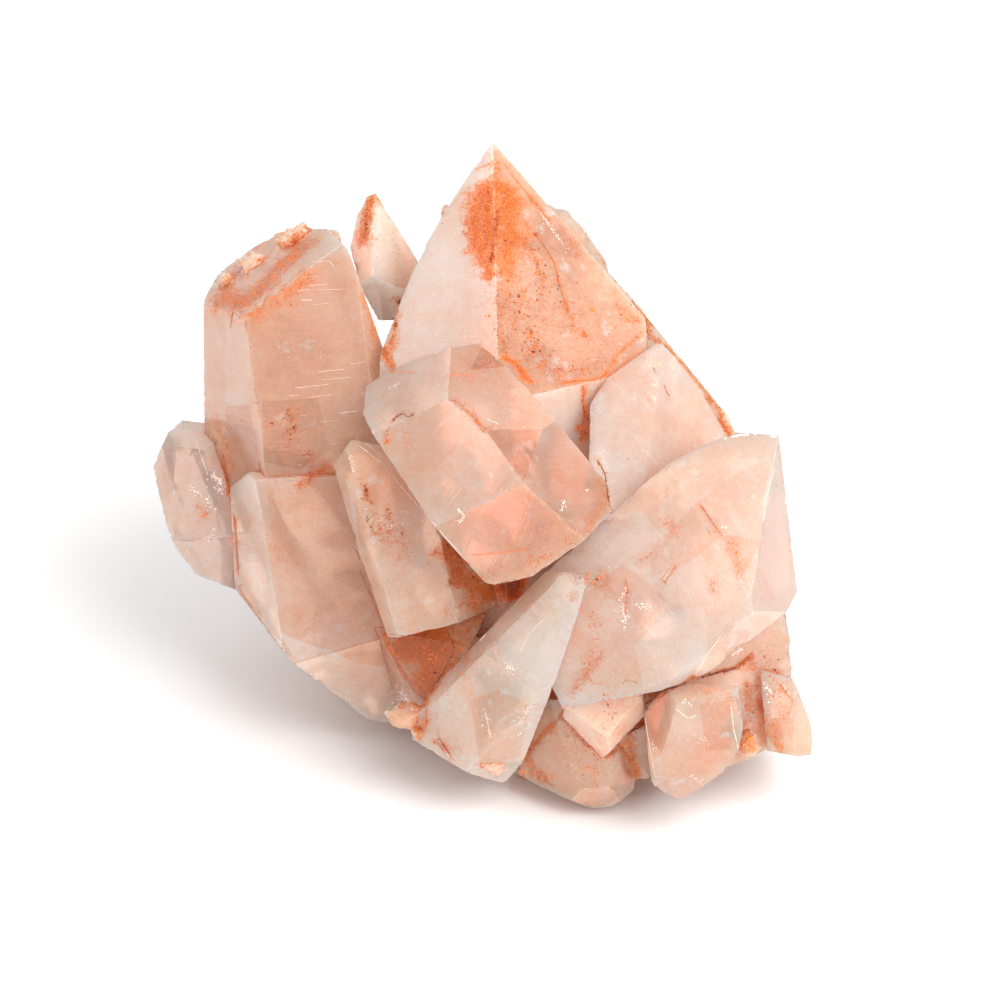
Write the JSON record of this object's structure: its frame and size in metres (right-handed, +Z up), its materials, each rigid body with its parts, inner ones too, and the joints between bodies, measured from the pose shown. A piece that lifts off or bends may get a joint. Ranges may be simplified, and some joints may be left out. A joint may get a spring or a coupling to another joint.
{
  "type": "himalayan quartz crystal cluster",
  "caption": "Broken-off cluster of intergrown pale pink quartz points with orange iron stains, standing on its flat cut base.",
  "frame": {"origin": "on the table plane, under the middle of the cluster's box", "axes": "+Z up; -Y toward the side that the picture shows, +X to the right there"},
  "size_m": [0.112, 0.0944, 0.1013],
  "materials": {
    "quartz": "clear to milky pink quartz, glossy on the crystal faces, with orange iron stains in the seams"
  },
  "bodies": {
    "root": {"quartz_cluster": "quartz"}
  },
  "joints": []
}
